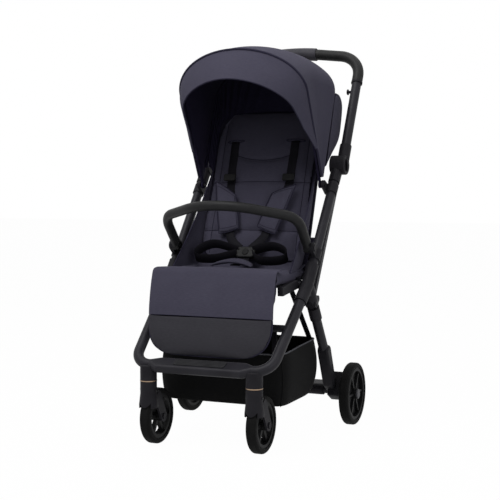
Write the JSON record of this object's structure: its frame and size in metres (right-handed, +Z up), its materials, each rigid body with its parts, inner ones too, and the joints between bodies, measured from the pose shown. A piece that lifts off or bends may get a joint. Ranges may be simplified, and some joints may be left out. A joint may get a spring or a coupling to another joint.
{
  "type": "baby stroller",
  "caption": "Compact folding baby stroller with swivel front casters, reclining padded seat, leg rest, bumper bar, sun canopy, harness and under-seat basket.",
  "frame": {"origin": "on the floor, at the middle of the stroller's footprint", "axes": "+Z up, +Y to the rear where the pusher walks, X across"},
  "size_m": [0.512, 0.6712, 1.0404],
  "materials": {
    "frame_tube": "satin dark anthracite powder coat",
    "frame_moulding": "fine moulded texture",
    "steel_pin": "zinc plated",
    "black_pin": "black oxide steel",
    "grip": "matte foam and leatherette cover",
    "tyre": "matte EVA",
    "wheel": "satin moulded plastic",
    "navy_fabric": "fine melange weave",
    "black_fabric": "coated weave",
    "webbing": "ribbed polyester webbing",
    "buckle_plastic": "satin acetal",
    "trim_ring": "satin copper",
    "board": "plain board under fabric",
    "bow": "plain plastic strip"
  },
  "bodies": {
    "chassis": {"main_tubes": "frame_tube", "front_legs": "frame_tube", "hubs": "frame_moulding", "fold_joint_inner": "frame_moulding", "pivot_pins": "black_pin", "front_crossbar": "frame_tube", "foot_tread": "grip", "cross_tubes": "frame_tube", "caster_posts": "frame_moulding", "post_trim_rings": "trim_ring", "seat_pan": "board", "seat_cushion": "navy_fabric", "seat_wings": "navy_fabric", "harness_buckle": "buckle_plastic", "lap_straps": "webbing", "canopy_panel": "navy_fabric", "canopy_rear_bow": "bow", "canopy_clips": "frame_moulding", "bumper_sockets": "frame_moulding", "basket": "black_fabric", "basket_straps": "webbing"},
    "handle": {"fold_joint_outer": "frame_moulding", "handle_tubes": "frame_tube", "handle_grips": "grip", "handle_housing": "frame_moulding", "accessory_stud": "frame_moulding"},
    "fold_button": {"fold_button": "buckle_plastic"},
    "rear_legs": {"rear_leg_knuckles": "frame_moulding", "rear_leg_tubes": "frame_tube", "rear_axle_housings": "frame_moulding", "rear_axles": "steel_pin", "rear_cross_tube": "frame_tube"},
    "brake_pedal": {"brake_pedal": "frame_moulding"},
    "fold_links": {"fold_links": "frame_tube"},
    "backrest": {"backrest_frame": "board", "backrest_cushion": "navy_fabric", "backrest_hood": "navy_fabric", "shoulder_straps": "webbing", "shoulder_pads": "navy_fabric", "strap_adjusters": "buckle_plastic"},
    "legrest": {"legrest_board": "board", "legrest_pad": "navy_fabric", "legrest_cover": "black_fabric"},
    "canopy_front": {"canopy_front_bow": "bow", "canopy_visor": "navy_fabric"},
    "bumper": {"bumper_bar": "grip"},
    "bumper_button_left": {"bumper_button_left": "buckle_plastic"},
    "bumper_button_right": {"bumper_button_right": "buckle_plastic"},
    "buckle_button": {"buckle_button": "buckle_plastic"},
    "caster_left": {"fork_left": "frame_moulding"},
    "front_wheel_left": {"front_rim_left": "wheel", "front_tyre_left": "tyre"},
    "rear_wheel_left": {"rear_rim_left": "wheel", "rear_tyre_left": "tyre"},
    "caster_right": {"fork_right": "frame_moulding"},
    "front_wheel_right": {"front_rim_right": "wheel", "front_tyre_right": "tyre"},
    "rear_wheel_right": {"rear_rim_right": "wheel", "rear_tyre_right": "tyre"}
  },
  "joints": [
    {"name": "fold", "type": "hinge", "parent": "chassis", "child": "handle", "pos_m": [0, 0.142, 0.697], "axis": [-1, 0, 0], "range_deg": [0, 115]},
    {"name": "rear_leg_fold", "type": "hinge", "parent": "chassis", "child": "rear_legs", "pos_m": [0, -0.06173, 0.34549], "axis": [-1, 0, 0], "range_deg": [0, 36]},
    {"name": "fold_link_pivot", "type": "hinge", "parent": "rear_legs", "child": "fold_links", "pos_m": [0, -0.02773, 0.35149], "axis": [-1, 0, 0], "range_deg": [-36, 0]},
    {"name": "canopy", "type": "hinge", "parent": "chassis", "child": "canopy_front", "pos_m": [0, 0.065, 0.645], "axis": [-1, 0, 0], "range_deg": [0, 35], "deforming": ["canopy_panel"]},
    {"name": "recline", "type": "hinge", "parent": "chassis", "child": "backrest", "pos_m": [0, -0.025, 0.425], "axis": [1, 0, 0], "range_deg": [-50, 0], "deforming": ["seat_wings"]},
    {"name": "legrest", "type": "hinge", "parent": "chassis", "child": "legrest", "pos_m": [0, -0.224, 0.41], "axis": [-1, 0, 0], "range_deg": [0, 75]},
    {"name": "bumper", "type": "hinge", "parent": "chassis", "child": "bumper", "pos_m": [0, -0.066, 0.484], "axis": [-1, 0, 0], "range_deg": [-25, 60]},
    {"name": "brake", "type": "hinge", "parent": "rear_legs", "child": "brake_pedal", "pos_m": [0, 0.112, 0.093], "axis": [-1, 0, 0], "range_deg": [0, 18]},
    {"name": "fold_button_press", "type": "slide", "parent": "handle", "child": "fold_button", "axis": [0, -0.8829, 0.4695], "range_m": [0, 0.003], "stiffness_N_per_m": 400},
    {"name": "buckle_press", "type": "slide", "parent": "chassis", "child": "buckle_button", "axis": [0, 0.866, -0.5], "range_m": [0, 0.002], "stiffness_N_per_m": 400},
    {"name": "caster_swivel_left", "type": "hinge", "parent": "chassis", "child": "caster_left", "pos_m": [-0.141, -0.307, 0.15], "axis": [0, 0, 1], "continuous": true},
    {"name": "front_wheel_spin_left", "type": "hinge", "parent": "caster_left", "child": "front_wheel_left", "pos_m": [-0.141, -0.265, 0.069], "axis": [1, 0, 0], "continuous": true},
    {"name": "rear_wheel_spin_left", "type": "hinge", "parent": "rear_legs", "child": "rear_wheel_left", "pos_m": [-0.241, 0.132, 0.083], "axis": [1, 0, 0], "continuous": true},
    {"name": "bumper_button_press_left", "type": "slide", "parent": "bumper", "child": "bumper_button_left", "axis": [-1, 0, 0], "range_m": [0, 0.003], "stiffness_N_per_m": 400},
    {"name": "caster_swivel_right", "type": "hinge", "parent": "chassis", "child": "caster_right", "pos_m": [0.141, -0.307, 0.15], "axis": [0, 0, 1], "continuous": true},
    {"name": "front_wheel_spin_right", "type": "hinge", "parent": "caster_right", "child": "front_wheel_right", "pos_m": [0.141, -0.265, 0.069], "axis": [1, 0, 0], "continuous": true},
    {"name": "rear_wheel_spin_right", "type": "hinge", "parent": "rear_legs", "child": "rear_wheel_right", "pos_m": [0.241, 0.132, 0.083], "axis": [1, 0, 0], "continuous": true},
    {"name": "bumper_button_press_right", "type": "slide", "parent": "bumper", "child": "bumper_button_right", "axis": [1, 0, 0], "range_m": [0, 0.003], "stiffness_N_per_m": 400}
  ],
  "couplings": [
    {"joint": "rear_leg_fold", "follows": "fold", "ratio": 0.31304},
    {"joint": "fold_link_pivot", "follows": "fold", "ratio": -0.31304}
  ]
}
